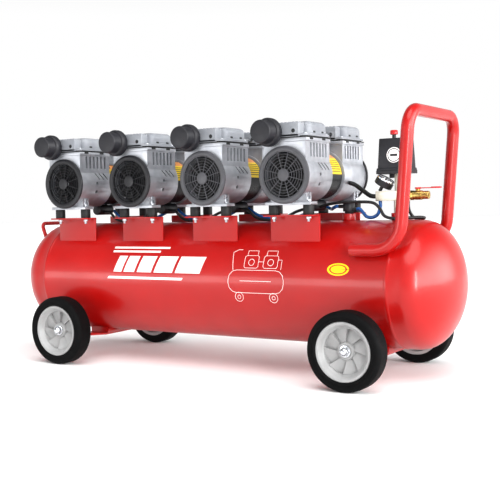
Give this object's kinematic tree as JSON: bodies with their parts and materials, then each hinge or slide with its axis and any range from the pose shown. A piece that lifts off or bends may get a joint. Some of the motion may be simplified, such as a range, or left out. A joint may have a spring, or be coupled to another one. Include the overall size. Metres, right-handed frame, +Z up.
{
  "type": "air compressor",
  "caption": "Wheeled oil-free air compressor: horizontal tank with a row of twin-cylinder pumps on top, tubular push handle, pressure switch, gauge and outlet valve.",
  "frame": {"origin": "on the floor under the middle of the tank", "axes": "+X along the tank towards the push handle, -Y towards the side that carries the intake mufflers, +Z up"},
  "size_m": [1.424, 0.52, 0.701],
  "materials": {
    "red_paint": "gloss red enamel on sheet steel",
    "cast_aluminium": "die-cast, fine grain",
    "head_aluminium": "die-cast, light satin",
    "bare_aluminium": "satin",
    "stator_black": "satin black lacquer on laminated steel",
    "rotor_steel": "turned steel",
    "zinc_steel": "zinc plated",
    "chrome": "polished",
    "brass": "turned, slightly dulled",
    "nickel_brass": "nickel-plated brass, satin",
    "dark_plastic": "moulded, fine texture",
    "rim_plastic": "moulded pale grey plastic",
    "tyre_rubber": "smooth black rubber",
    "black_rubber": "moulded rubber",
    "gasket_black": "pressed gasket sheet",
    "knob_red": "gloss red plastic",
    "blue_hose": "extruded polyurethane",
    "cable_black": "rubber sheath"
  },
  "bodies": {
    "chassis": {"tank_shell": "red_paint", "tank_end_left": "red_paint", "tank_end_right": "red_paint", "tank_ports": "red_paint", "motor_saddles": "red_paint", "main_handle": "red_paint", "grab_handle": "red_paint", "wheel_straps": "red_paint", "stub_axles": "zinc_steel", "axle_nuts": "chrome", "drain_valve": "brass", "rubber_feet": "black_rubber", "foot_bolts": "zinc_steel", "castings_1": "cast_aluminium", "castings_2": "cast_aluminium", "castings_3": "cast_aluminium", "castings_4": "cast_aluminium", "stators": "stator_black", "shaft_bearings": "zinc_steel", "capacitors": "dark_plastic", "fan_covers": "dark_plastic", "head_gaskets": "gasket_black", "cylinder_heads": "head_aluminium", "head_bolts": "zinc_steel", "intake_mufflers": "dark_plastic", "crossover_tubes": "bare_aluminium", "manifold": "nickel_brass", "check_valve": "dark_plastic", "switch_base": "dark_plastic", "switch_cover": "dark_plastic", "gauge_case": "dark_plastic", "safety_valve": "brass", "ball_valve": "brass", "air_hoses": "blue_hose", "wiring": "cable_black"},
    "wheel_front_left": {"rim_front_left": "rim_plastic", "tyre_front_left": "tyre_rubber"},
    "wheel_front_right": {"rim_front_right": "rim_plastic", "tyre_front_right": "tyre_rubber"},
    "wheel_rear_left": {"rim_rear_left": "rim_plastic", "tyre_rear_left": "tyre_rubber"},
    "wheel_rear_right": {"rim_rear_right": "rim_plastic", "tyre_rear_right": "tyre_rubber"},
    "motor_1": {"rotor_1": "rotor_steel"},
    "cylinder_1_front_piston": {"piston_front_1": "bare_aluminium"},
    "cylinder_1_rear_piston": {"piston_rear_1": "bare_aluminium"},
    "motor_2": {"rotor_2": "rotor_steel"},
    "cylinder_2_front_piston": {"piston_front_2": "bare_aluminium"},
    "cylinder_2_rear_piston": {"piston_rear_2": "bare_aluminium"},
    "motor_3": {"rotor_3": "rotor_steel"},
    "cylinder_3_front_piston": {"piston_front_3": "bare_aluminium"},
    "cylinder_3_rear_piston": {"piston_rear_3": "bare_aluminium"},
    "motor_4": {"rotor_4": "rotor_steel"},
    "cylinder_4_front_piston": {"piston_front_4": "bare_aluminium"},
    "cylinder_4_rear_piston": {"piston_rear_4": "bare_aluminium"},
    "drain_tap": {"drain_knob": "brass"},
    "start_knob": {"on_off_knob": "knob_red"},
    "outlet_lever": {"valve_lever": "knob_red"},
    "relief_ring": {"safety_ring": "zinc_steel"},
    "gauge_pointer": {"gauge_needle": "knob_red"}
  },
  "joints": [
    {"name": "wheel_front_left_spin", "type": "hinge", "parent": "chassis", "child": "wheel_front_left", "pos_m": [-0.451, -0.225, 0.1], "axis": [0, 1, 0], "continuous": true},
    {"name": "wheel_front_right_spin", "type": "hinge", "parent": "chassis", "child": "wheel_front_right", "pos_m": [0.499, -0.225, 0.1], "axis": [0, 1, 0], "continuous": true},
    {"name": "wheel_rear_left_spin", "type": "hinge", "parent": "chassis", "child": "wheel_rear_left", "pos_m": [-0.451, 0.225, 0.1], "axis": [0, 1, 0], "continuous": true},
    {"name": "wheel_rear_right_spin", "type": "hinge", "parent": "chassis", "child": "wheel_rear_right", "pos_m": [0.499, 0.225, 0.1], "axis": [0, 1, 0], "continuous": true},
    {"name": "motor_1_spin", "type": "hinge", "parent": "chassis", "child": "motor_1", "pos_m": [-0.474, 0, 0.537], "axis": [0, 1, 0], "continuous": true},
    {"name": "piston_front_1_stroke", "type": "slide", "parent": "chassis", "child": "cylinder_1_front_piston", "axis": [0, 0, 1], "range_m": [-0.01, 0.01]},
    {"name": "piston_rear_1_stroke", "type": "slide", "parent": "chassis", "child": "cylinder_1_rear_piston", "axis": [0, 0, 1], "range_m": [-0.01, 0.01]},
    {"name": "motor_2_spin", "type": "hinge", "parent": "chassis", "child": "motor_2", "pos_m": [-0.2164, 0, 0.537], "axis": [0, 1, 0], "continuous": true},
    {"name": "piston_front_2_stroke", "type": "slide", "parent": "chassis", "child": "cylinder_2_front_piston", "axis": [0, 0, 1], "range_m": [-0.01, 0.01]},
    {"name": "piston_rear_2_stroke", "type": "slide", "parent": "chassis", "child": "cylinder_2_rear_piston", "axis": [0, 0, 1], "range_m": [-0.01, 0.01]},
    {"name": "motor_3_spin", "type": "hinge", "parent": "chassis", "child": "motor_3", "pos_m": [0.0412, 0, 0.537], "axis": [0, 1, 0], "continuous": true},
    {"name": "piston_front_3_stroke", "type": "slide", "parent": "chassis", "child": "cylinder_3_front_piston", "axis": [0, 0, 1], "range_m": [-0.01, 0.01]},
    {"name": "piston_rear_3_stroke", "type": "slide", "parent": "chassis", "child": "cylinder_3_rear_piston", "axis": [0, 0, 1], "range_m": [-0.01, 0.01]},
    {"name": "motor_4_spin", "type": "hinge", "parent": "chassis", "child": "motor_4", "pos_m": [0.2988, 0, 0.537], "axis": [0, 1, 0], "continuous": true},
    {"name": "piston_front_4_stroke", "type": "slide", "parent": "chassis", "child": "cylinder_4_front_piston", "axis": [0, 0, 1], "range_m": [-0.01, 0.01]},
    {"name": "piston_rear_4_stroke", "type": "slide", "parent": "chassis", "child": "cylinder_4_rear_piston", "axis": [0, 0, 1], "range_m": [-0.01, 0.01]},
    {"name": "drain_tap_turn", "type": "hinge", "parent": "chassis", "child": "drain_tap", "pos_m": [0.42, -0.027, 0.057], "axis": [0, 1, 0], "range_deg": [0, 180]},
    {"name": "start_knob_push", "type": "slide", "parent": "chassis", "child": "start_knob", "axis": [0, 0, 1], "range_m": [-0.008, 0]},
    {"name": "outlet_lever_turn", "type": "hinge", "parent": "chassis", "child": "outlet_lever", "pos_m": [0.596, 0, 0.477], "axis": [0, 0, 1], "range_deg": [-90, 0]},
    {"name": "relief_ring_pull", "type": "slide", "parent": "chassis", "child": "relief_ring", "axis": [0, 0, 1], "range_m": [0, 0.003], "stiffness_N_per_m": 400},
    {"name": "gauge_pointer_turn", "type": "hinge", "parent": "chassis", "child": "gauge_pointer", "pos_m": [0.50665, 0, 0.51874], "axis": [0.5299, 0, 0.848], "range_deg": [-270, 0]}
  ],
  "couplings": [
    {"joint": "piston_rear_1_stroke", "follows": "piston_front_1_stroke", "ratio": -1},
    {"joint": "piston_rear_2_stroke", "follows": "piston_front_2_stroke", "ratio": -1},
    {"joint": "piston_rear_3_stroke", "follows": "piston_front_3_stroke", "ratio": -1},
    {"joint": "piston_rear_4_stroke", "follows": "piston_front_4_stroke", "ratio": -1}
  ]
}
